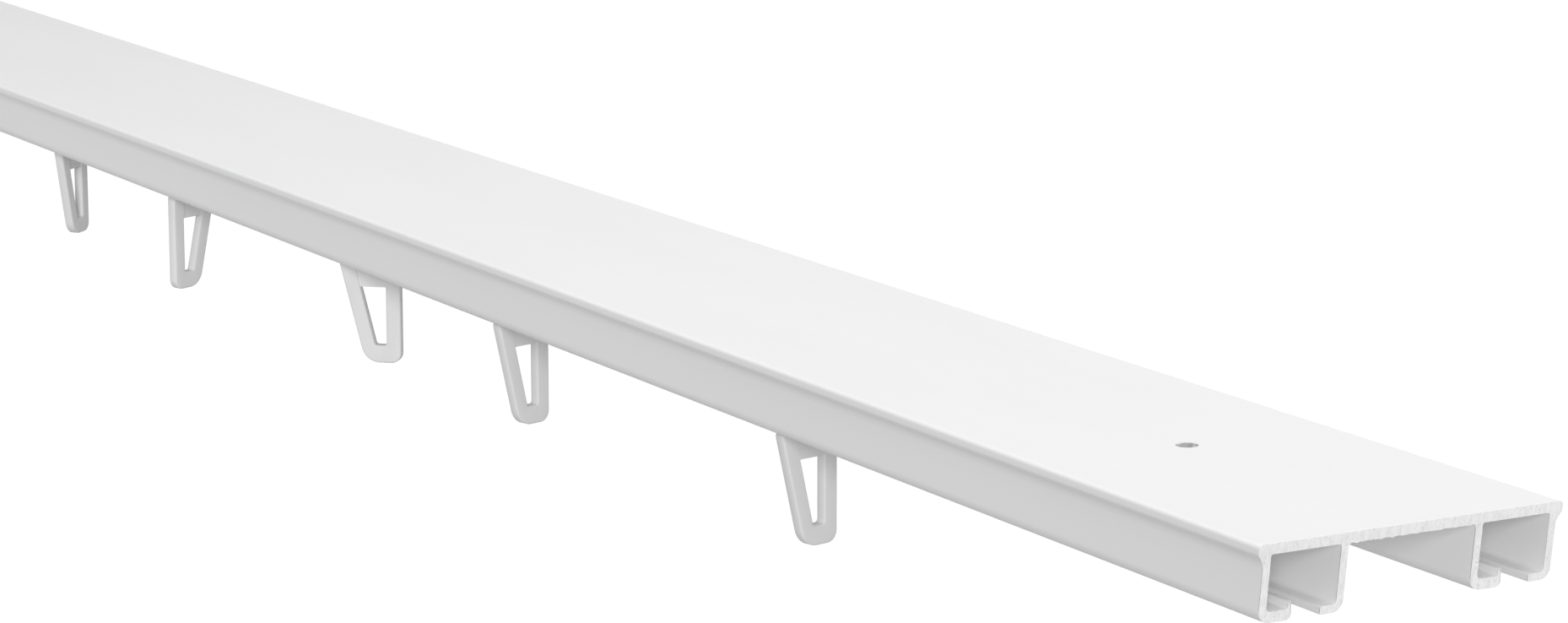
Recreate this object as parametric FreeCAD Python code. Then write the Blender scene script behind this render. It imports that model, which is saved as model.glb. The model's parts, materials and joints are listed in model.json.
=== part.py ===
# Double ceiling curtain track: a white extruded rail with two open-bottomed channels side by side under a
# flat plate, and five gliders in the front channel. Each glider is a runner that slides on the channel's
# lips and an eye that turns on a stem in the runner.
# X runs along the rail, -Y is the front, +Z is up. The origin is in the middle of the ceiling face.
import FreeCAD, Part
import math
import os

# Driving dimensions, millimetres and degrees: the rail
RAIL_LENGTH = 720.0
PLATE_WIDTH = 57.0
PLATE_THICKNESS = 1.7
RAIL_HEIGHT = 12.6
WALL = 1.3
FRONT_LIP = 5.3
FRONT_LIP_THICKNESS = 1.8
REAR_LIP = 2.9
REAR_LIP_THICKNESS = 1.35
SLOT_WIDTH = 4.7
BEAD_HEIGHT = 2.9
BEAD_WIDTH = 1.3
BEAD_RADIUS = 0.45
OVERHANG = 1.05
PLATE_EDGE = 1.6
COVE_DEPTH = 3.1
COVE_RADIUS = 2.2
PLATE_EDGE_RADIUS = 0.7
FOOT_RADIUS = 2.0
ROOT_RADIUS = 0.7
INSIDE_RADIUS = 0.4
LIP_ROOT_RADIUS = 0.7
LIP_EDGE_RADIUS = 0.3
FRONT_LIP_FOOT_RADIUS = 1.8

# The saw cut at the right end, and the rounded corners of the front lips there
CUT_LEAN = 7.0
LIP_END_RADIUS = 1.0

# Screw holes through the plate
HOLE_DIAMETER = 3.8
HOLE_SPACING = 600.0

# Runner inside the channel
RUNNER_LENGTH = 11.0
RUNNER_HEIGHT = 3.3
RUNNER_CORNER_RADIUS = 2.0
RUNNER_CHAMFER = 0.7
RUNNER_SIDE_CLEARANCE = 0.4
GUIDE_CLEARANCE = 0.3
FOOT_CLEARANCE = 0.1

# Stem of the eye in the runner's bore
STEM_DIAMETER = 2.2
SWIVEL_CLEARANCE = 0.05
SNAP_OVERLAP = 0.6
SNAP_HEIGHT = 1.3
SNAP_SLIT = 0.5
SNAP_SLIT_DEPTH = 3.0
END_PLAY = 0.1
COLLAR_DIAMETER = 4.0

# Eye below the rail: a flat loop with one upright leg and one slanted leg
EYE_GAP = 0.3
EYE_WIDTH = 13.4
EYE_FOOT_WIDTH = 7.9
EYE_HEIGHT = 21.6
EYE_THICKNESS = 2.2
EYE_BAR = 5.4
EYE_BAR_RECESS = 0.3
EYE_FOOT = 3.8
UPRIGHT_LEG = 3.2
EYE_HOLE_TOP_WIDTH = 5.6
EYE_HOLE_FOOT_WIDTH = 2.5
EYE_TOP_RADIUS = 0.7
SLANTED_FOOT_RADIUS = 4.0
UPRIGHT_FOOT_RADIUS = 2.2
EYE_HOLE_FOOT_RADIUS = 0.6
EYE_EDGE_CHAMFER = 0.4

# Rest place of each glider from the rail's middle, and the turn of its eye
GLIDERS = (
    (-148.0, 131.5),
    (-72.0, 292.5),
    (25.5, 48.0),
    (96.0, 106.0),
    (209.0, 102.5),
)

# Worked out from the sizes above
FRONT_EDGE = -PLATE_WIDTH / 2
CHANNEL_WIDTH = 2 * WALL + FRONT_LIP + SLOT_WIDTH + REAR_LIP
CHANNEL_FRONTS = (FRONT_EDGE + OVERHANG, -FRONT_EDGE - OVERHANG - CHANNEL_WIDTH)
FRONT_LIP_TOP = FRONT_LIP_THICKNESS - RAIL_HEIGHT
REAR_LIP_TOP = REAR_LIP_THICKNESS - RAIL_HEIGHT
BEAD_TOP = BEAD_HEIGHT - RAIL_HEIGHT
SLOT_MIDDLE = WALL + FRONT_LIP + SLOT_WIDTH / 2
GLIDER_Y = CHANNEL_FRONTS[0] + SLOT_MIDDLE
RUNNER_WIDTH = SLOT_WIDTH + 2 * (REAR_LIP - RUNNER_SIDE_CLEARANCE)
RUNNER_TOP = BEAD_TOP + RUNNER_HEIGHT
EYE_TOP = -RAIL_HEIGHT - EYE_GAP
BORE_RADIUS = STEM_DIAMETER / 2 + SWIVEL_CLEARANCE

# Share of a side that its two rounded corners may take, and how far cutting blocks reach past the material
LARGEST_ROUNDED_SHARE = 0.9
MARGIN = 5.0
LIP_CUT_MARGIN = 0.1


def side_room(length, wanted):
    """Share of its wanted arcs that a side has room for: 1 where they fit."""
    if wanted == 0:
        return 1.0
    return min(1.0, LARGEST_ROUNDED_SHARE * length / wanted)


def rounded_wire(corners, to_point):
    """Closed wire through (a, b, radius) corners: 0 is sharp, arcs shrink on a side too short for them."""
    points = [FreeCAD.Vector(a, b, 0) for a, b, radius in corners]
    afters = points[1:] + points[:1]
    sides = [after - point for point, after in zip(points, afters)]
    half_angles = [math.pi / 2 - sides[i - 1].getAngle(sides[i]) / 2 for i in range(len(points))]
    wanted = [radius / math.tan(half) for (a, b, radius), half in zip(corners, half_angles)]
    wanted_after = wanted[1:] + wanted[:1]
    rooms = [side_room(side.Length, a + b) for side, a, b in zip(sides, wanted, wanted_after)]
    starts = []
    ends = []
    arcs = []
    for i, point in enumerate(points):
        reach = wanted[i] * min(rooms[i - 1], rooms[i])
        to_before = (points[i - 1] - point).normalize()
        to_after = (afters[i] - point).normalize()
        starts.append(to_point(point + to_before * reach))
        ends.append(to_point(point + to_after * reach))
        if reach > 0:
            arc_radius = reach * math.tan(half_angles[i])
            inward = (to_before + to_after).normalize()
            middle = point + inward * (arc_radius / math.sin(half_angles[i]) - arc_radius)
            arcs.append(Part.Arc(starts[i], to_point(middle), ends[i]).toShape())
    lines = [Part.LineSegment(ends[i - 1], starts[i]).toShape() for i in range(len(points))]
    return Part.Wire(Part.__sortEdges__(lines + arcs))


def channel_corners(front):
    """Corners of one channel's inside and lips, from its front foot round to its rear foot."""
    front_inside = front + WALL
    front_tip = front_inside + FRONT_LIP
    rear_tip = front_tip + SLOT_WIDTH
    rear_inside = rear_tip + REAR_LIP
    return [
        (front, -RAIL_HEIGHT, FOOT_RADIUS),
        (front_tip, -RAIL_HEIGHT, FRONT_LIP_FOOT_RADIUS),
        (front_tip, BEAD_TOP, BEAD_RADIUS),
        (front_tip - BEAD_WIDTH, BEAD_TOP, BEAD_RADIUS),
        (front_tip - BEAD_WIDTH, FRONT_LIP_TOP, INSIDE_RADIUS),
        (front_inside, FRONT_LIP_TOP, LIP_ROOT_RADIUS),
        (front_inside, -PLATE_THICKNESS, INSIDE_RADIUS),
        (rear_inside, -PLATE_THICKNESS, INSIDE_RADIUS),
        (rear_inside, REAR_LIP_TOP, LIP_ROOT_RADIUS),
        (rear_tip, REAR_LIP_TOP, LIP_EDGE_RADIUS),
        (rear_tip, -RAIL_HEIGHT, LIP_EDGE_RADIUS),
        (front + CHANNEL_WIDTH, -RAIL_HEIGHT, FOOT_RADIUS),
    ]


def rail_profile():
    """Section of the extrusion: plate with overhanging edges, coves, and two channels."""
    front_channel, rear_channel = CHANNEL_FRONTS
    corners = [
        (FRONT_EDGE, 0, PLATE_EDGE_RADIUS),
        (FRONT_EDGE, -PLATE_EDGE, PLATE_EDGE_RADIUS),
        (front_channel, -COVE_DEPTH, COVE_RADIUS),
    ]
    corners += channel_corners(front_channel)
    corners += [
        (front_channel + CHANNEL_WIDTH, -PLATE_THICKNESS, ROOT_RADIUS),
        (rear_channel, -PLATE_THICKNESS, ROOT_RADIUS),
    ]
    corners += channel_corners(rear_channel)
    corners += [
        (rear_channel + CHANNEL_WIDTH, -COVE_DEPTH, COVE_RADIUS),
        (-FRONT_EDGE, -PLATE_EDGE, PLATE_EDGE_RADIUS),
        (-FRONT_EDGE, 0, PLATE_EDGE_RADIUS),
    ]
    wire = rounded_wire(corners, lambda p: FreeCAD.Vector(-RAIL_LENGTH / 2, p.x, p.y))
    return Part.Face(wire)


def cut_offset(z):
    """How far the leaning saw cut stands back from the rail's nominal end at a height."""
    return -z * math.tan(math.radians(CUT_LEAN))


def saw_cut():
    """Block whose leaning face trims the right end."""
    end = RAIL_LENGTH / 2
    beyond = end + RAIL_HEIGHT + MARGIN
    top = MARGIN
    bottom = -RAIL_HEIGHT - MARGIN
    outline = [
        (end - cut_offset(top), top),
        (beyond, top),
        (beyond, bottom),
        (end - cut_offset(bottom), bottom),
    ]
    points = [FreeCAD.Vector(x, FRONT_EDGE - MARGIN, z) for x, z in outline]
    face = Part.Face(Part.makePolygon(points + points[:1]))
    return face.extrude(FreeCAD.Vector(0, PLATE_WIDTH + 2 * MARGIN, 0))


def lip_end_cut(front):
    """Block that rounds the corner of a channel's front lip at the right end, in plan."""
    tip = front + WALL + FRONT_LIP
    end = RAIL_LENGTH / 2 - cut_offset(-RAIL_HEIGHT)
    round_start = FreeCAD.Vector(end, tip - LIP_END_RADIUS, 0)
    round_end = FreeCAD.Vector(end - LIP_END_RADIUS, tip, 0)
    centre = FreeCAD.Vector(end - LIP_END_RADIUS, tip - LIP_END_RADIUS, 0)
    round_middle = centre + FreeCAD.Vector(1, 1, 0).normalize() * LIP_END_RADIUS
    side = tip + SLOT_WIDTH / 2
    outline = [
        round_end,
        FreeCAD.Vector(round_end.x, side, 0),
        FreeCAD.Vector(end + MARGIN, side, 0),
        FreeCAD.Vector(end + MARGIN, round_start.y, 0),
        round_start,
    ]
    edges = [Part.LineSegment(a, b).toShape() for a, b in zip(outline, outline[1:])]
    edges.append(Part.Arc(round_start, round_middle, round_end).toShape())
    block = Part.Face(Part.Wire(edges)).extrude(FreeCAD.Vector(0, 0, BEAD_HEIGHT + 2 * LIP_CUT_MARGIN))
    block.translate(FreeCAD.Vector(0, 0, -RAIL_HEIGHT - LIP_CUT_MARGIN))
    return block


def make_rail():
    """The extruded rail: sawn at the right end, square at the left end, with two screw holes."""
    body = rail_profile().extrude(FreeCAD.Vector(RAIL_LENGTH + RAIL_HEIGHT, 0, 0))
    tools = [saw_cut()]
    tools += [lip_end_cut(front) for front in CHANNEL_FRONTS]
    for x in (-HOLE_SPACING / 2, HOLE_SPACING / 2):
        place = FreeCAD.Vector(x, 0, -PLATE_THICKNESS - MARGIN)
        tools.append(Part.makeCylinder(HOLE_DIAMETER / 2, PLATE_THICKNESS + 2 * MARGIN, place))
    for tool in tools:
        body = body.cut(tool)
    return body


def make_runner():
    """Slide block on the front lip's bead, with a foot on the rear lip, a guide in the slot and a bore."""
    half_length = RUNNER_LENGTH / 2
    half_width = RUNNER_WIDTH / 2
    corners = [
        (-half_length, -half_width, RUNNER_CORNER_RADIUS),
        (half_length, -half_width, RUNNER_CORNER_RADIUS),
        (half_length, half_width, RUNNER_CORNER_RADIUS),
        (-half_length, half_width, RUNNER_CORNER_RADIUS),
    ]
    wire = rounded_wire(corners, lambda p: FreeCAD.Vector(p.x, p.y, BEAD_TOP))
    block = Part.Face(wire).extrude(FreeCAD.Vector(0, 0, RUNNER_HEIGHT))
    rim = [edge for edge in block.Edges if edge.BoundBox.ZMin > RUNNER_TOP - RUNNER_CHAMFER / 2]
    block = block.makeChamfer(RUNNER_CHAMFER, rim)
    guide_radius = SLOT_WIDTH / 2 - GUIDE_CLEARANCE
    guide_base = FreeCAD.Vector(0, 0, -RAIL_HEIGHT)
    guide = Part.makeCylinder(guide_radius, BEAD_HEIGHT + RUNNER_HEIGHT / 2, guide_base)
    foot_half_length = half_length - RUNNER_CORNER_RADIUS
    foot_corner = FreeCAD.Vector(-foot_half_length, SLOT_WIDTH / 2, REAR_LIP_TOP)
    foot_height = BEAD_TOP - REAR_LIP_TOP + RUNNER_HEIGHT / 2
    foot_width = REAR_LIP - LIP_ROOT_RADIUS - FOOT_CLEARANCE
    foot = Part.makeBox(2 * foot_half_length, foot_width, foot_height, foot_corner)
    bore_base = guide_base - FreeCAD.Vector(0, 0, MARGIN)
    bore = Part.makeCylinder(BORE_RADIUS, RAIL_HEIGHT + 2 * MARGIN, bore_base)
    return block.fuse([guide, foot]).cut(bore).removeSplitter()


def eye_face(corners, y):
    """Flat face in the eye's own upright plane, set forward or back by y."""
    wire = rounded_wire(corners, lambda p: FreeCAD.Vector(p.x, y, EYE_TOP + p.y))
    return Part.Face(wire)


def eye_loop():
    """Flat loop of the eye, its top edge at the eye's top, with the bar set back between the legs."""
    half = EYE_WIDTH / 2
    back = -EYE_THICKNESS / 2
    thickness = FreeCAD.Vector(0, EYE_THICKNESS, 0)
    outer = [
        (-half, 0, EYE_TOP_RADIUS),
        (half, 0, EYE_TOP_RADIUS),
        (half, -EYE_HEIGHT, UPRIGHT_FOOT_RADIUS),
        (half - EYE_FOOT_WIDTH, -EYE_HEIGHT, SLANTED_FOOT_RADIUS),
    ]
    hole_foot = EYE_HEIGHT - EYE_FOOT
    hole_side = half - UPRIGHT_LEG
    hole_slant = (EYE_HOLE_TOP_WIDTH - EYE_HOLE_FOOT_WIDTH) / (hole_foot - EYE_BAR)
    hole = [
        (hole_side - EYE_HOLE_TOP_WIDTH, -EYE_BAR, 0),
        (hole_side, -EYE_BAR, 0),
        (hole_side, -hole_foot, EYE_HOLE_FOOT_RADIUS),
        (hole_side - EYE_HOLE_FOOT_WIDTH, -hole_foot, EYE_HOLE_FOOT_RADIUS),
    ]
    loop = eye_face(outer, back).extrude(thickness).cut(eye_face(hole, back).extrude(thickness))
    rims = [edge for edge in loop.Edges if edge.BoundBox.YLength < EYE_THICKNESS / 2]
    loop = loop.makeChamfer(EYE_EDGE_CHAMFER, rims)
    bar = [
        (hole_side - EYE_HOLE_TOP_WIDTH - hole_slant * (EYE_BAR + MARGIN), MARGIN, 0),
        (hole_side, MARGIN, 0),
        (hole_side, -EYE_BAR - EYE_EDGE_CHAMFER, 0),
        (hole_side - EYE_HOLE_TOP_WIDTH + hole_slant * EYE_EDGE_CHAMFER, -EYE_BAR - EYE_EDGE_CHAMFER, 0),
    ]
    set_back = -back - EYE_BAR_RECESS
    for side in (-1, 1):
        recess = eye_face(bar, side * set_back).extrude(FreeCAD.Vector(0, side * MARGIN, 0))
        loop = loop.cut(recess)
    return loop


def eye_stem():
    """Turned stem: collar under the guide, shaft in the bore and split snap head on the runner."""
    shaft = STEM_DIAMETER / 2
    snap = shaft + SNAP_OVERLAP
    collar = COLLAR_DIAMETER / 2
    collar_foot = EYE_TOP - EYE_BAR / 2
    collar_top = -RAIL_HEIGHT - END_PLAY
    snap_foot = RUNNER_TOP + END_PLAY
    snap_top = snap_foot + SNAP_HEIGHT
    half_section = [
        (0, collar_foot),
        (EYE_THICKNESS / 2, collar_foot),
        (collar, EYE_TOP),
        (collar, collar_top),
        (shaft, collar_top),
        (shaft, snap_foot),
        (snap, snap_foot),
        (snap, snap_foot + SNAP_HEIGHT / 3),
        (shaft, snap_top),
        (0, snap_top),
    ]
    points = [FreeCAD.Vector(r, 0, z) for r, z in half_section]
    face = Part.Face(Part.makePolygon(points + points[:1]))
    stem = face.revolve(FreeCAD.Vector(0, 0, 0), FreeCAD.Vector(0, 0, 1), 360)
    slit_corner = FreeCAD.Vector(-snap - MARGIN, -SNAP_SLIT / 2, snap_top - SNAP_SLIT_DEPTH)
    slit = Part.makeBox(2 * (snap + MARGIN), SNAP_SLIT, SNAP_SLIT_DEPTH + MARGIN, slit_corner)
    return stem.cut(slit)


def make_eye():
    """The eye: loop and stem moulded in one piece, its turning axis on the stem."""
    return eye_loop().fuse(eye_stem()).removeSplitter()


os.makedirs("parts", exist_ok=True)
make_rail().exportStep("parts/rail.step")
runner = make_runner()
eye = make_eye()
for number, (place_x, turn) in enumerate(GLIDERS, start=1):
    place = FreeCAD.Vector(place_x, GLIDER_Y, 0)
    placed_runner = runner.copy()
    placed_runner.translate(place)
    placed_runner.exportStep(f"parts/glider_runner_{number}.step")
    placed_eye = eye.copy()
    placed_eye.rotate(FreeCAD.Vector(0, 0, 0), FreeCAD.Vector(0, 0, 1), turn)
    placed_eye.translate(place)
    placed_eye.exportStep(f"parts/glider_eye_{number}.step")
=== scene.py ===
import json
import math

import bmesh
import bpy
from mathutils import Matrix, Vector, noise


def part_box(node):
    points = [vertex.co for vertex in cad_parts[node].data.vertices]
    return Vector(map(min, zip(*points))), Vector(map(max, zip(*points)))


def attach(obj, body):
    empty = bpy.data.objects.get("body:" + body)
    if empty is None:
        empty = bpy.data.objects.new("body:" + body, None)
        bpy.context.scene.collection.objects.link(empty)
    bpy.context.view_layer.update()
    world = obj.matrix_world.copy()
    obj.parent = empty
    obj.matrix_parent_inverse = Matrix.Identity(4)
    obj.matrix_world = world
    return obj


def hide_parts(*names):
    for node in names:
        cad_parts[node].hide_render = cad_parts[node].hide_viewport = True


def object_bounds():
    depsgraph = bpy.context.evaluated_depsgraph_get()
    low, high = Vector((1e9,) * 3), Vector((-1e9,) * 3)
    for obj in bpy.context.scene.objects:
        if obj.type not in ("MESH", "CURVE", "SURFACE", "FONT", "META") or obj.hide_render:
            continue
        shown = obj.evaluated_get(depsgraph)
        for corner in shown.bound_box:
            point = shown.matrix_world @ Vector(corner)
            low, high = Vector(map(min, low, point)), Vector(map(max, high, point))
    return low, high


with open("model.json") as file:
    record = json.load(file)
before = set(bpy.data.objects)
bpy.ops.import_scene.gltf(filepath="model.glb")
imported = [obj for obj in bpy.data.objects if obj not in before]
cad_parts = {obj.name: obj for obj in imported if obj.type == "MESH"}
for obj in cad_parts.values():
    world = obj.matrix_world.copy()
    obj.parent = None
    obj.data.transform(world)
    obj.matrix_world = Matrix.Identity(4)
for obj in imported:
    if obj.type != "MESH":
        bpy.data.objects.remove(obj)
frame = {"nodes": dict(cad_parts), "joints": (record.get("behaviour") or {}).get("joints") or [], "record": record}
cad_low, cad_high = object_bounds()

# Metres in a millimetre
MM = 0.001

# Camera, fitted to the photograph's view of the rail: metres, degrees, and millimetres for the sensor
PHOTO_WIDTH_PX = 1858
FOCAL_LENGTH_PX = 5477
SENSOR_WIDTH = 36.0
CAMERA_PLACE = (0.8999, -0.4177, 0.1672)
CAMERA_PITCH = 11.28
CAMERA_HEADING = 60.26
CLIP_END = 200.0

# Floor, metres: its shade and glow are what the camera and gloss see, its bounce is what lights the part
FLOOR_DROP = 0.32
FLOOR_SIZE = 60.0
FLOOR_SHADE = 0.30
FLOOR_GLOW = 0.86
FLOOR_BOUNCE = 0.45

# Light: metres, degrees, watts, and watts per square metre for the sun
AMBIENT = 0.37
FRONT_STRENGTH = 1.80
FRONT_SPREAD = 20.0
FRONT_HEADING = 58.0
FRONT_HEIGHT = 15.0
SOFTBOX_PLACE = (0.42, 0.05, 0.90)
SOFTBOX_SIZE = 1.0
SOFTBOX_POWER = 5.0

# Span that most values of a noise texture lie in
NOISE_LOW = 0.3
NOISE_HIGH = 0.7
WHITE = (1.0, 1.0, 1.0)

# Powder coat: colours, limits of roughness, grains per metre along each axis, and relief in millimetres
COAT_DARK = (0.900, 0.900, 0.901)
COAT_LIGHT = (0.918, 0.918, 0.918)
COAT_ROUGHNESS = (0.40, 0.50)
CLOUD_GRAINS = (9.0, 40.0, 40.0)
DRAW_LINE_GRAINS = (2.0, 900.0, 900.0)
DRAW_LINE_RELIEF = 0.02
PEEL_GRAINS = (1400.0, 1400.0, 1400.0)
PEEL_RELIEF = 0.03

# Sawn metal, in the same units
SAWN_DARK = (0.82, 0.82, 0.823)
SAWN_LIGHT = (0.93, 0.93, 0.932)
SAWN_METALLIC = 0.35
SAWN_ROUGHNESS = (0.40, 0.65)
TOOTH_GRAINS = (1500.0, 1500.0, 500.0)
TOOTH_RELIEF = 0.06
SPECK_COLOUR = (0.74, 0.74, 0.75)
SPECK_GRAINS = (2600.0, 2600.0, 2600.0)

# Drilled metal, in the same units: bare metal, darkened as painted shade inside the screw holes, with bright spots
# as painted glints
DRILLED_DARK_AND_PAINTED_SHADE = (0.54, 0.54, 0.545)
DRILLED_LIGHT_AND_PAINTED_GLINT = (0.94, 0.94, 0.945)
DRILLED_METALLIC = 0.6
DRILLED_ROUGHNESS = (0.30, 0.50)
RING_GRAINS = (300.0, 300.0, 3000.0)
RING_RELIEF = 0.05
GLINT_SPOT_GRAINS = (420.0, 420.0, 420.0)

# Moulded plastic, in the same units
PLASTIC_DARK = (0.785, 0.785, 0.786)
PLASTIC_LIGHT = (0.815, 0.815, 0.815)
PLASTIC_ROUGHNESS = (0.40, 0.52)
FLOW_GRAINS = (250.0, 250.0, 70.0)
MOULD_GRAINS = (1800.0, 1800.0, 1800.0)
MOULD_RELIEF = 0.02

# Eye of a glider, millimetres: the sizes of the solid that it stands for, with moulded edges
EYE_WIDTH = 13.4
EYE_FOOT_WIDTH = 7.9
EYE_HEIGHT = 21.6
EYE_THICKNESS = 2.2
EYE_BAR = 5.4
EYE_BAR_RECESS = 0.3
EYE_FOOT = 3.8
UPRIGHT_LEG = 3.2
EYE_HOLE_TOP_WIDTH = 5.6
EYE_HOLE_FOOT_WIDTH = 2.5
EYE_TOP_RADIUS = 0.7
SLANTED_FOOT_RADIUS = 4.0
UPRIGHT_FOOT_RADIUS = 2.2
EYE_HOLE_RADIUS = 0.6
EYE_EDGE_RADIUS = 0.45
END_PLAY = 0.1
STEM_RADIUS = 1.1
COLLAR_RADIUS = 2.0
SNAP_RADIUS = 1.7
SNAP_HEIGHT = 1.3
SNAP_LAND = SNAP_HEIGHT / 3
SNAP_SLIT = 0.5
SNAP_SLIT_DEPTH = 3.0

# Hole of the eye, worked out: its upright side, the depth of its foot, and the slant of its other side
HOLE_SIDE = EYE_WIDTH / 2 - UPRIGHT_LEG
HOLE_FOOT = EYE_HEIGHT - EYE_FOOT
HOLE_SLANT = (EYE_HOLE_TOP_WIDTH - EYE_HOLE_FOOT_WIDTH) / (HOLE_FOOT - EYE_BAR)

# Heights read from the frame or worked out from it, millimetres
RAIL_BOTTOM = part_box("rail")[0].z / MM
RUNNER_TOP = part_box("glider_runner_1")[1].z / MM
EYE_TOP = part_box("glider_eye_1")[0].z / MM + EYE_HEIGHT
SNAP_FOOT = RUNNER_TOP + END_PLAY

# Steps that round stretches are divided into
ARC_STEPS = 10
EDGE_STEPS = 5
LATHE_STEPS = 48

# Limits in making a mesh: degrees from which an edge stays sharp, the smallest cosine that a corner's inset
# is divided by, and millimetres within which two points are one
EYE_SHARP_ANGLE = 35.0
METAL_SHARP_ANGLE = 40.0
INSET_COSINE_LIMIT = 0.5
LATHE_MERGE = 0.001
CUT_MERGE = 1e-4
SPLIT_MERGE = 1e-5

# What counts as the cut at an end of the rail: how squarely its widest face looks along the rail, and how
# closely the other faces share that face's direction and, in millimetres, its plane
END_NORMAL_LIMIT = 0.97
CUT_NORMAL_LIMIT = 0.998
CUT_PLANE_LIMIT = 0.05

# Skin over a cut, millimetres, with its pits and burr as noise of so many waves per millimetre
SKIN_CELL = 0.25
SKIN_THICKNESS = 0.12
SKIN_PROUD = 0.02
PIT_HEIGHT = 0.03
PIT_BASE = 0.8
FINE_PIT_WAVES = (2.3, 1.6)
FINE_PIT_SEED = 7.0
BROAD_PIT_WAVES = 0.8
BROAD_PIT_SEED = 31.0
BROAD_PIT_SHARE = 0.6
BURR_LENGTH = 0.25
BURR_REACH = 11.5
BURR_ZONE = (-2.6, -1.2)
BURR_BASE = 0.2
LONG_BURR_WAVES = 0.9
LONG_BURR_SEED = 3.0
SHORT_BURR_WAVES = 3.1
SHORT_BURR_SEED = 9.0
SHORT_BURR_SHARE = 0.8

# Sleeve over the wall of a screw hole, bare metal darkened to paint the shade in the hole, millimetres: how far it
# stands out of the wall and reaches into it, and how far it stops short of the plate's faces
PLATE_THICKNESS = 1.7
SLEEVE_PROUD = 0.06
SLEEVE_DEPTH = 0.06
SLEEVE_INSET = 0.04


class Surface:
    """A new material: its Principled shader, and the nodes that feed it."""

    def __init__(self, name):
        self.material = bpy.data.materials.new(name)
        self.material.use_nodes = True
        self.nodes = self.material.node_tree.nodes
        self.links = self.material.node_tree.links
        self.shader = self.nodes["Principled BSDF"]

    def feed(self, socket, value):
        """Links a value to a socket of the shader."""
        self.links.new(value, self.shader.inputs[socket])

    def grain(self, grains, detail):
        """Noise on the object's own coordinates, with so many grains a metre along each axis."""
        place = self.nodes.new("ShaderNodeTexCoord")
        mapping = self.nodes.new("ShaderNodeMapping")
        mapping.inputs["Scale"].default_value = grains
        self.links.new(place.outputs["Object"], mapping.inputs["Vector"])
        texture = self.nodes.new("ShaderNodeTexNoise")
        texture.inputs["Scale"].default_value = 1.0
        texture.inputs["Detail"].default_value = detail
        self.links.new(mapping.outputs["Vector"], texture.inputs["Vector"])
        return texture.outputs["Fac"]

    def span(self, value, limits):
        """Number that runs between two limits as a noise goes from low to high."""
        scaled = self.nodes.new("ShaderNodeMapRange")
        scaled.inputs["From Min"].default_value = NOISE_LOW
        scaled.inputs["From Max"].default_value = NOISE_HIGH
        scaled.inputs["To Min"].default_value = limits[0]
        scaled.inputs["To Max"].default_value = limits[1]
        self.links.new(value, scaled.inputs["Value"])
        return scaled.outputs["Result"]

    def shades(self, value, dark, light, start=NOISE_LOW, end=NOISE_HIGH):
        """Colour that runs from dark to light as a noise goes from start to end."""
        ramp = self.nodes.new("ShaderNodeValToRGB")
        stops = ((start, dark), (end, light))
        for element, (position, colour) in zip(ramp.color_ramp.elements, stops):
            element.position = position
            element.color = (*colour, 1.0)
        self.links.new(value, ramp.inputs["Fac"])
        return ramp.outputs["Color"]

    def product(self, first, second):
        """Two colours multiplied."""
        mix = self.nodes.new("ShaderNodeMix")
        mix.data_type = "RGBA"
        mix.blend_type = "MULTIPLY"
        mix.inputs["Factor"].default_value = 1.0
        sockets = {socket.identifier: socket for socket in [*mix.inputs, *mix.outputs]}
        self.links.new(first, sockets["A_Color"])
        self.links.new(second, sockets["B_Color"])
        return sockets["Result_Color"]

    def relief(self, height, depth, strength, under=None):
        """Normal of a bump of some millimetres, on top of another one where that is given."""
        bump = self.nodes.new("ShaderNodeBump")
        bump.inputs["Distance"].default_value = depth * MM
        bump.inputs["Strength"].default_value = strength
        self.links.new(height, bump.inputs["Height"])
        if under is not None:
            self.links.new(under, bump.inputs["Normal"])
        return bump.outputs["Normal"]


def powder_coat():
    """Satin white coat: fine orange peel, and faint draw lines of the extrusion along the rail."""
    coat = Surface("powder_coat")
    peel = coat.grain(PEEL_GRAINS, detail=2.0)
    lines = coat.grain(DRAW_LINE_GRAINS, detail=4.0)
    clouds = coat.grain(CLOUD_GRAINS, detail=3.0)
    coat.feed("Base Color", coat.shades(clouds, COAT_DARK, COAT_LIGHT))
    coat.feed("Roughness", coat.span(lines, COAT_ROUGHNESS))
    drawn = coat.relief(lines, DRAW_LINE_RELIEF, strength=0.25)
    coat.feed("Normal", coat.relief(peel, PEEL_RELIEF, strength=0.30, under=drawn))
    return coat.material


def sawn_metal():
    """Bare aluminium from the saw: bright, finely mottled, with faint upright tooth marks and specks."""
    metal = Surface("sawn_metal")
    teeth = metal.grain(TOOTH_GRAINS, detail=4.0)
    specks = metal.grain(SPECK_GRAINS, detail=3.0)
    bright = metal.shades(teeth, SAWN_DARK, SAWN_LIGHT, start=0.30, end=0.60)
    dark = metal.shades(specks, SPECK_COLOUR, WHITE, start=0.28, end=0.40)
    metal.feed("Base Color", metal.product(bright, dark))
    metal.shader.inputs["Metallic"].default_value = SAWN_METALLIC
    metal.feed("Roughness", metal.span(specks, SAWN_ROUGHNESS))
    metal.feed("Normal", metal.relief(teeth, TOOTH_RELIEF, strength=0.6))
    return metal.material


def drilled_metal_and_painted_shade():
    """Bare aluminium where the drill went through the coat, darkened as painted shade in the hole: dull, with
    drill rings, and bright spots as painted glints.
    """
    metal = Surface("drilled_metal_and_painted_shade")
    rings = metal.grain(RING_GRAINS, detail=3.0)
    spots = metal.grain(GLINT_SPOT_GRAINS, detail=2.0)
    # Painted shade and glint: the dark end of the colour stands for the shade in the hole, and the bright spots
    # for glints
    metal.feed("Base Color", metal.shades(spots, DRILLED_DARK_AND_PAINTED_SHADE, DRILLED_LIGHT_AND_PAINTED_GLINT, start=0.40, end=0.58))
    metal.shader.inputs["Metallic"].default_value = DRILLED_METALLIC
    metal.feed("Roughness", metal.span(rings, DRILLED_ROUGHNESS))
    metal.feed("Normal", metal.relief(rings, RING_RELIEF, strength=0.6))
    return metal.material


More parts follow.
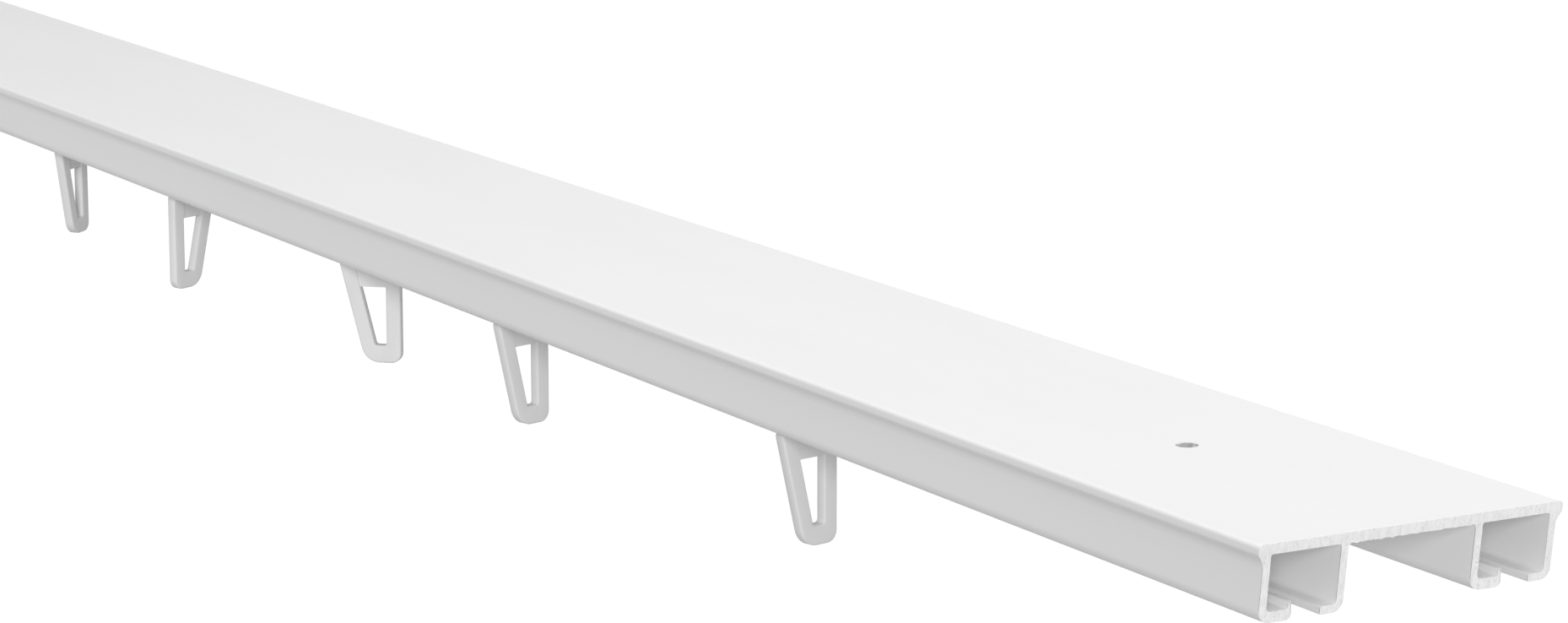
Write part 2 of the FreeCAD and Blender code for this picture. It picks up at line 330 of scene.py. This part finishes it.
def moulded_plastic():
    """White acetal: satin, very slightly uneven from the mould."""
    plastic = Surface("moulded_plastic")
    mould = plastic.grain(MOULD_GRAINS, detail=2.0)
    flow = plastic.grain(FLOW_GRAINS, detail=3.0)
    plastic.feed("Base Color", plastic.shades(flow, PLASTIC_DARK, PLASTIC_LIGHT))
    plastic.feed("Roughness", plastic.span(mould, PLASTIC_ROUGHNESS))
    plastic.feed("Normal", plastic.relief(mould, MOULD_RELIEF, strength=0.25))
    return plastic.material


def link(obj):
    """Puts an object into the scene."""
    bpy.context.scene.collection.objects.link(obj)
    return obj


def dress(obj, material):
    """Gives an object one material."""
    obj.data.materials.clear()
    obj.data.materials.append(material)
    return obj


def to_object(name, shape, place):
    """Turns a millimetre bmesh into an object in metres at a place."""
    mesh = bpy.data.meshes.new(name)
    shape.transform(place @ Matrix.Scale(MM, 4))
    shape.to_mesh(mesh)
    shape.free()
    return link(bpy.data.objects.new(name, mesh))


def combine(base, tool, operation):
    """Applies a boolean of two objects to the first, and removes the second."""
    modifier = base.modifiers.new("combine", "BOOLEAN")
    modifier.operation = operation
    modifier.solver = "EXACT"
    modifier.object = tool
    depsgraph = bpy.context.evaluated_depsgraph_get()
    mesh = bpy.data.meshes.new_from_object(base.evaluated_get(depsgraph))
    base.modifiers.clear()
    base.data = mesh
    bpy.data.objects.remove(tool)


def smooth_edges(obj, degrees):
    """Smooth shading, with edges sharper than an angle kept."""
    shape = bmesh.new()
    shape.from_mesh(obj.data)
    for face in shape.faces:
        face.smooth = True
    for edge in shape.edges:
        edge.smooth = edge.is_manifold and edge.calc_face_angle() < math.radians(degrees)
    shape.to_mesh(obj.data)
    shape.free()


def new_points(extruded):
    """The points that an extrusion has added."""
    return [item for item in extruded["geom"] if isinstance(item, bmesh.types.BMVert)]


def turned_mesh(section, closed):
    """Section of (radius, height) points turned about Z, with its two ends joined if closed."""
    shape = bmesh.new()
    points = [shape.verts.new((radius, 0, z)) for radius, z in section]
    edges = [shape.edges.new(pair) for pair in zip(points, points[1:])]
    if closed:
        edges.append(shape.edges.new((points[-1], points[0])))
    bmesh.ops.spin(shape, geom=points + edges, axis=(0, 0, 1), cent=(0, 0, 0), steps=LATHE_STEPS,
                   angle=math.radians(360), use_merge=True)
    bmesh.ops.remove_doubles(shape, verts=shape.verts, dist=LATHE_MERGE)
    bmesh.ops.recalc_face_normals(shape, faces=shape.faces)
    return shape


def rounded_outline(corners):
    """Closed outline through (a, b, radius) corners, with arcs sampled at the rounded ones."""
    points = [Vector((a, b)) for a, b, radius in corners]
    radii = [radius for a, b, radius in corners]
    outline = []
    for i, (point, radius) in enumerate(zip(points, radii)):
        if radius == 0:
            outline.append(point)
            continue
        to_before = (points[i - 1] - point).normalized()
        to_after = (points[(i + 1) % len(points)] - point).normalized()
        half_angle = to_before.angle(to_after) / 2
        centre = point + (to_before + to_after).normalized() * (radius / math.sin(half_angle))
        start = point + to_before * (radius / math.tan(half_angle)) - centre
        end = point + to_after * (radius / math.tan(half_angle)) - centre
        sweep = start.angle_signed(end)
        for step in range(ARC_STEPS + 1):
            outline.append(centre + Matrix.Rotation(-sweep * step / ARC_STEPS, 2) @ start)
    return outline


def inset(outline, distance):
    """The outline moved to its left by a distance: inwards where it runs anticlockwise."""
    moved = []
    for i, point in enumerate(outline):
        before = (point - outline[i - 1]).normalized()
        after = (outline[(i + 1) % len(outline)] - point).normalized()
        along = (before + after).normalized()
        left = Vector((-along.y, along.x))
        moved.append(point + left * (distance / max(INSET_COSINE_LIMIT, along.dot(before))))
    return moved


def eye_outlines():
    """Outer outline of the loop, anticlockwise, and its hole, clockwise, in the eye's own plane."""
    half = EYE_WIDTH / 2
    outer = [
        (half, 0, EYE_TOP_RADIUS),
        (-half, 0, EYE_TOP_RADIUS),
        (half - EYE_FOOT_WIDTH, -EYE_HEIGHT, SLANTED_FOOT_RADIUS),
        (half, -EYE_HEIGHT, UPRIGHT_FOOT_RADIUS),
    ]
    hole = [
        (HOLE_SIDE - EYE_HOLE_TOP_WIDTH, -EYE_BAR, 0),
        (HOLE_SIDE, -EYE_BAR, 0),
        (HOLE_SIDE, -HOLE_FOOT, EYE_HOLE_RADIUS),
        (HOLE_SIDE - EYE_HOLE_FOOT_WIDTH, -HOLE_FOOT, EYE_HOLE_RADIUS),
    ]
    return rounded_outline(outer), rounded_outline(hole)


def edge_rings(shape, outline):
    """Rings of points over the rounded edge along one outline, from one face of the loop to the other."""
    rings = []
    for step in [*range(-EDGE_STEPS, 0), *range(1, EDGE_STEPS + 1)]:
        angle = math.radians(90) * abs(step) / EDGE_STEPS
        ring = inset(outline, EYE_EDGE_RADIUS * (1 - math.cos(angle)))
        depth = EYE_THICKNESS / 2 - EYE_EDGE_RADIUS * (1 - math.sin(angle))
        y = math.copysign(depth, step)
        rings.append([shape.verts.new((point.x, y, EYE_TOP + point.y)) for point in ring])
    return rings


def loop_mesh():
    """Flat loop with rounded edges, its thickness along Y."""
    shape = bmesh.new()
    low_rims = []
    high_rims = []
    for outline in eye_outlines():
        rings = edge_rings(shape, outline)
        for lower, upper in zip(rings, rings[1:]):
            for i in range(len(lower)):
                shape.faces.new((lower[i - 1], lower[i], upper[i], upper[i - 1]))
        low_rims.append(rings[0])
        high_rims.append(rings[-1])
    for rims in (low_rims, high_rims):
        edges = [shape.edges.get((ring[i - 1], ring[i])) for ring in rims for i in range(len(ring))]
        bmesh.ops.triangle_fill(shape, use_beauty=True, edges=edges)
    bmesh.ops.recalc_face_normals(shape, faces=shape.faces)
    return shape


def recess_mesh(facing):
    """Block that sets one face of the bar back between the legs."""
    low = -EYE_BAR - EYE_EDGE_RADIUS
    high = EYE_EDGE_RADIUS
    outline = [
        (HOLE_SIDE - EYE_HOLE_TOP_WIDTH - HOLE_SLANT * (EYE_BAR + low), low),
        (HOLE_SIDE, low),
        (HOLE_SIDE, high),
        (HOLE_SIDE - EYE_HOLE_TOP_WIDTH - HOLE_SLANT * (EYE_BAR + high), high),
    ]
    near = facing * (EYE_THICKNESS / 2 - EYE_BAR_RECESS)
    shape = bmesh.new()
    corners = [shape.verts.new((u, near, EYE_TOP + v)) for u, v in outline]
    extruded = bmesh.ops.extrude_face_region(shape, geom=[shape.faces.new(corners)])
    bmesh.ops.translate(shape, vec=(0, facing * EYE_THICKNESS, 0), verts=new_points(extruded))
    bmesh.ops.recalc_face_normals(shape, faces=shape.faces)
    return shape


def stem_mesh():
    """Turned collar, shaft and snap head of the eye."""
    collar_foot = EYE_TOP - EYE_BAR / 2
    collar_top = RAIL_BOTTOM - END_PLAY
    section = [
        (0, collar_foot),
        (EYE_THICKNESS / 2, collar_foot),
        (COLLAR_RADIUS, EYE_TOP),
        (COLLAR_RADIUS, collar_top),
        (STEM_RADIUS, collar_top),
        (STEM_RADIUS, SNAP_FOOT),
        (SNAP_RADIUS, SNAP_FOOT),
        (SNAP_RADIUS, SNAP_FOOT + SNAP_LAND),
        (STEM_RADIUS, SNAP_FOOT + SNAP_HEIGHT),
        (0, SNAP_FOOT + SNAP_HEIGHT),
    ]
    return turned_mesh(section, closed=False)


def slit_mesh():
    """Block that splits the snap head: centred on the head's top, and twice as long as the head is wide."""
    size = (4 * SNAP_RADIUS, SNAP_SLIT, 2 * SNAP_SLIT_DEPTH)
    shape = bmesh.new()
    bmesh.ops.create_cube(shape, size=1.0)
    bmesh.ops.scale(shape, vec=size, verts=shape.verts)
    bmesh.ops.translate(shape, vec=(0, 0, SNAP_FOOT + SNAP_HEIGHT), verts=shape.verts)
    return shape


def make_eye(number, axis_place, turn, material):
    """Moulded eye of one glider, in place of its solid."""
    place = Matrix.Translation((axis_place[0], axis_place[1], 0)) @ Matrix.Rotation(turn, 4, "Z")
    eye = to_object(f"glider_loop_{number}", loop_mesh(), place)
    for facing in (-1, 1):
        combine(eye, to_object("recess", recess_mesh(facing), place), "DIFFERENCE")
    combine(eye, to_object("stem", stem_mesh(), place), "UNION")
    combine(eye, to_object("slit", slit_mesh(), place), "DIFFERENCE")
    smooth_edges(dress(eye, material), EYE_SHARP_ANGLE)
    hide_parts(f"glider_eye_{number}")
    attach(eye, f"eye_{number}")


def keep_cut(shape, side):
    """Deletes all but the flat cut at one end of the rail's mesh, and gives the cut's normal."""
    ends = [face for face in shape.faces if face.normal.x * side > END_NORMAL_LIMIT]
    widest = max(ends, key=lambda face: face.calc_area())
    outward = widest.normal.copy()
    level = widest.calc_center_median().dot(outward)
    others = []
    for face in shape.faces:
        off_plane = abs(face.calc_center_median().dot(outward) - level) > CUT_PLANE_LIMIT
        if off_plane or face.normal.dot(outward) < CUT_NORMAL_LIMIT:
            others.append(face)
    bmesh.ops.delete(shape, geom=others, context="FACES")
    return outward


def split_cells(shape):
    """Splits a cut along Y and Z into cells that are small enough for its relief."""
    for axis, low, high in ((1, cad_low.y / MM, cad_high.y / MM), (2, RAIL_BOTTOM, 0.0)):
        normal = Vector((0, 0, 0))
        normal[axis] = 1
        for i in range(1, int((high - low) / SKIN_CELL)):
            point = normal * (low + i * SKIN_CELL)
            geometry = shape.verts[:] + shape.edges[:] + shape.faces[:]
            bmesh.ops.bisect_plane(shape, geom=geometry, dist=SPLIT_MERGE, plane_co=point, plane_no=normal)


def pit_height(y, z, side):
    """Height of the sawn surface at a place on the cut: fine waves on broad ones."""
    fine = noise.noise(Vector((y * FINE_PIT_WAVES[0], z * FINE_PIT_WAVES[1], FINE_PIT_SEED * side)))
    broad = noise.noise(Vector((y * BROAD_PIT_WAVES, z * BROAD_PIT_WAVES, BROAD_PIT_SEED)))
    return PIT_HEIGHT * (fine + BROAD_PIT_SHARE * broad + PIT_BASE)


def burr_share(y):
    """Share of its length that the burr has at a place along the plate's edge: none where it broke off."""
    long_waves = noise.noise(Vector((y * LONG_BURR_WAVES, LONG_BURR_SEED, 0.0)))
    short_waves = noise.noise(Vector((y * SHORT_BURR_WAVES, SHORT_BURR_SEED, 0.0)))
    return max(0.0, long_waves + SHORT_BURR_SHARE * short_waves + BURR_BASE)


def sawn_face(name, side, burr, material):
    """Rough closed skin over one cut end of the rail: fine pits, and a burr of some length under the plate."""
    shape = bmesh.new()
    shape.from_mesh(frame["nodes"]["rail"].data)
    bmesh.ops.scale(shape, vec=(1 / MM,) * 3, verts=shape.verts)
    outward = keep_cut(shape, side)
    bmesh.ops.remove_doubles(shape, verts=shape.verts, dist=CUT_MERGE)
    split_cells(shape)
    for vert in shape.verts:
        y, z = vert.co.y, vert.co.z
        vert.co += outward * (SKIN_PROUD + pit_height(y, z, side))
        if vert.is_boundary and abs(y) < BURR_REACH and BURR_ZONE[0] < z < BURR_ZONE[1]:
            vert.co.z -= burr * burr_share(y)
    extruded = bmesh.ops.extrude_face_region(shape, geom=shape.faces[:], use_keep_orig=True)
    bmesh.ops.translate(shape, vec=-outward * SKIN_THICKNESS, verts=new_points(extruded))
    bmesh.ops.recalc_face_normals(shape, faces=shape.faces)
    face = to_object(name, shape, Matrix.Identity(4))
    smooth_edges(dress(face, material), METAL_SHARP_ANGLE)
    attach(face, "rail")


def drilled_and_shaded_wall(name, x, radius, material):
    """Thin bare sleeve over the wall of one screw hole, its dark metal also painted shade in the hole."""
    near = radius - SLEEVE_PROUD
    far = radius + SLEEVE_DEPTH
    high = -SLEEVE_INSET
    low = SLEEVE_INSET - PLATE_THICKNESS
    section = [(near, high), (near, low), (far, low), (far, high)]
    wall = to_object(name, turned_mesh(section, closed=True), Matrix.Translation((x, 0, 0)))
    smooth_edges(dress(wall, material), METAL_SHARP_ANGLE)
    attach(wall, "rail")


def grey(level):
    """Opaque grey of a level."""
    return (level, level, level, 1.0)


def eye_ray(nodes, links):
    """One where a ray comes from the camera, a gloss or a clear surface."""
    path = nodes.new("ShaderNodeLightPath")
    total = path.outputs["Is Camera Ray"]
    for name in ("Is Glossy Ray", "Is Transmission Ray"):
        either = nodes.new("ShaderNodeMath")
        either.operation = "MAXIMUM"
        links.new(total, either.inputs[0])
        links.new(path.outputs[name], either.inputs[1])
        total = either.outputs["Value"]
    return total


def seen_or_thrown(nodes, links, seen, thrown):
    """Shader that looks one way to the camera, gloss and clear surfaces, and lights the part another way."""
    mix = nodes.new("ShaderNodeMixShader")
    links.new(eye_ray(nodes, links), mix.inputs["Fac"])
    links.new(thrown, mix.inputs[1])
    links.new(seen, mix.inputs[2])
    return mix.outputs["Shader"]


def floor_material():
    """Pale floor: white to the eye with the part's shadow on it, a little duller in what it throws back."""
    material = bpy.data.materials.new("floor")
    material.use_nodes = True
    nodes = material.node_tree.nodes
    links = material.node_tree.links
    nodes.clear()
    shade = nodes.new("ShaderNodeBsdfDiffuse")
    shade.inputs["Color"].default_value = grey(FLOOR_SHADE)
    glow = nodes.new("ShaderNodeEmission")
    glow.inputs["Strength"].default_value = FLOOR_GLOW
    seen = nodes.new("ShaderNodeAddShader")
    links.new(shade.outputs["BSDF"], seen.inputs[0])
    links.new(glow.outputs["Emission"], seen.inputs[1])
    thrown = nodes.new("ShaderNodeBsdfDiffuse")
    thrown.inputs["Color"].default_value = grey(FLOOR_BOUNCE)
    output = nodes.new("ShaderNodeOutputMaterial")
    surface = seen_or_thrown(nodes, links, seen.outputs["Shader"], thrown.outputs["BSDF"])
    links.new(surface, output.inputs["Surface"])
    return material


def make_floor():
    """Wide floor below the part."""
    bpy.ops.mesh.primitive_plane_add(size=FLOOR_SIZE, location=(0, 0, cad_low.z - FLOOR_DROP))
    floor = bpy.context.object
    floor.name = "floor"
    dress(floor, floor_material())


def make_surroundings():
    """White to the eye, with an even dim light on the part."""
    world = bpy.data.worlds.new("surroundings")
    bpy.context.scene.world = world
    world.use_nodes = True
    nodes = world.node_tree.nodes
    links = world.node_tree.links
    dim = nodes["Background"]
    dim.inputs["Color"].default_value = grey(AMBIENT)
    bright = nodes.new("ShaderNodeBackground")
    bright.inputs["Color"].default_value = (*WHITE, 1.0)
    surface = seen_or_thrown(nodes, links, bright.outputs["Background"], dim.outputs["Background"])
    links.new(surface, nodes["World Output"].inputs["Surface"])


def make_lamps():
    """A soft sun from the front, left out of gloss so that no glare bleaches the plate, and a softbox."""
    light = bpy.data.lights.new("front", "SUN")
    light.energy = FRONT_STRENGTH
    light.angle = math.radians(FRONT_SPREAD)
    sun = link(bpy.data.objects.new("front", light))
    sun.rotation_euler = (math.radians(90 - FRONT_HEIGHT), 0, math.radians(FRONT_HEADING))
    sun.visible_glossy = False
    softbox = bpy.data.lights.new("softbox", "AREA")
    softbox.size = SOFTBOX_SIZE
    softbox.energy = SOFTBOX_POWER
    link(bpy.data.objects.new("softbox", softbox)).location = SOFTBOX_PLACE


def make_camera():
    """Camera at the photograph's viewing angle."""
    camera = bpy.data.cameras.new("camera")
    camera.sensor_width = SENSOR_WIDTH
    camera.lens = SENSOR_WIDTH * FOCAL_LENGTH_PX / PHOTO_WIDTH_PX
    camera.clip_end = CLIP_END
    view = link(bpy.data.objects.new("camera", camera))
    view.location = CAMERA_PLACE
    view.rotation_euler = (math.radians(90 - CAMERA_PITCH), 0, math.radians(CAMERA_HEADING))
    bpy.context.scene.camera = view
    bpy.context.scene.view_settings.view_transform = "Standard"


mounts = {mount["name"]: mount for mount in frame["record"]["mounts"]}
swivels = {joint["child"]: joint for joint in frame["joints"] if joint["type"] == "hinge"}

dress(frame["nodes"]["rail"], powder_coat())
sawn = sawn_metal()
sawn_face("sawn_end", side=1, burr=BURR_LENGTH, material=sawn)
sawn_face("square_end", side=-1, burr=0.0, material=sawn)

# Bare metal for the walls of the screw holes, darkened as painted shade, with painted glints
hole_wall_metal_and_shade = drilled_metal_and_painted_shade()
holes = mounts["ceiling_holes"]["dims"]
# Dark bare-metal sleeves in the screw holes, which also paint the shade there
for name, side in (("drilled_and_shaded_wall_left", -1), ("drilled_and_shaded_wall_right", 1)):
    hole_x = side * holes["spacing_x_mm"] / 2 * MM
    drilled_and_shaded_wall(name, hole_x, holes["hole_r_mm"], hole_wall_metal_and_shade)

plastic = moulded_plastic()
for number in range(1, len(swivels) + 1):
    dress(frame["nodes"][f"glider_runner_{number}"], plastic)
    axis = mounts[f"hook_eye_{number}"]["axis"]
    turn = math.atan2(-axis[0], axis[1])
    make_eye(number, swivels[f"eye_{number}"]["pos_m"], turn, plastic)

make_floor()
make_surroundings()
make_lamps()
make_camera()
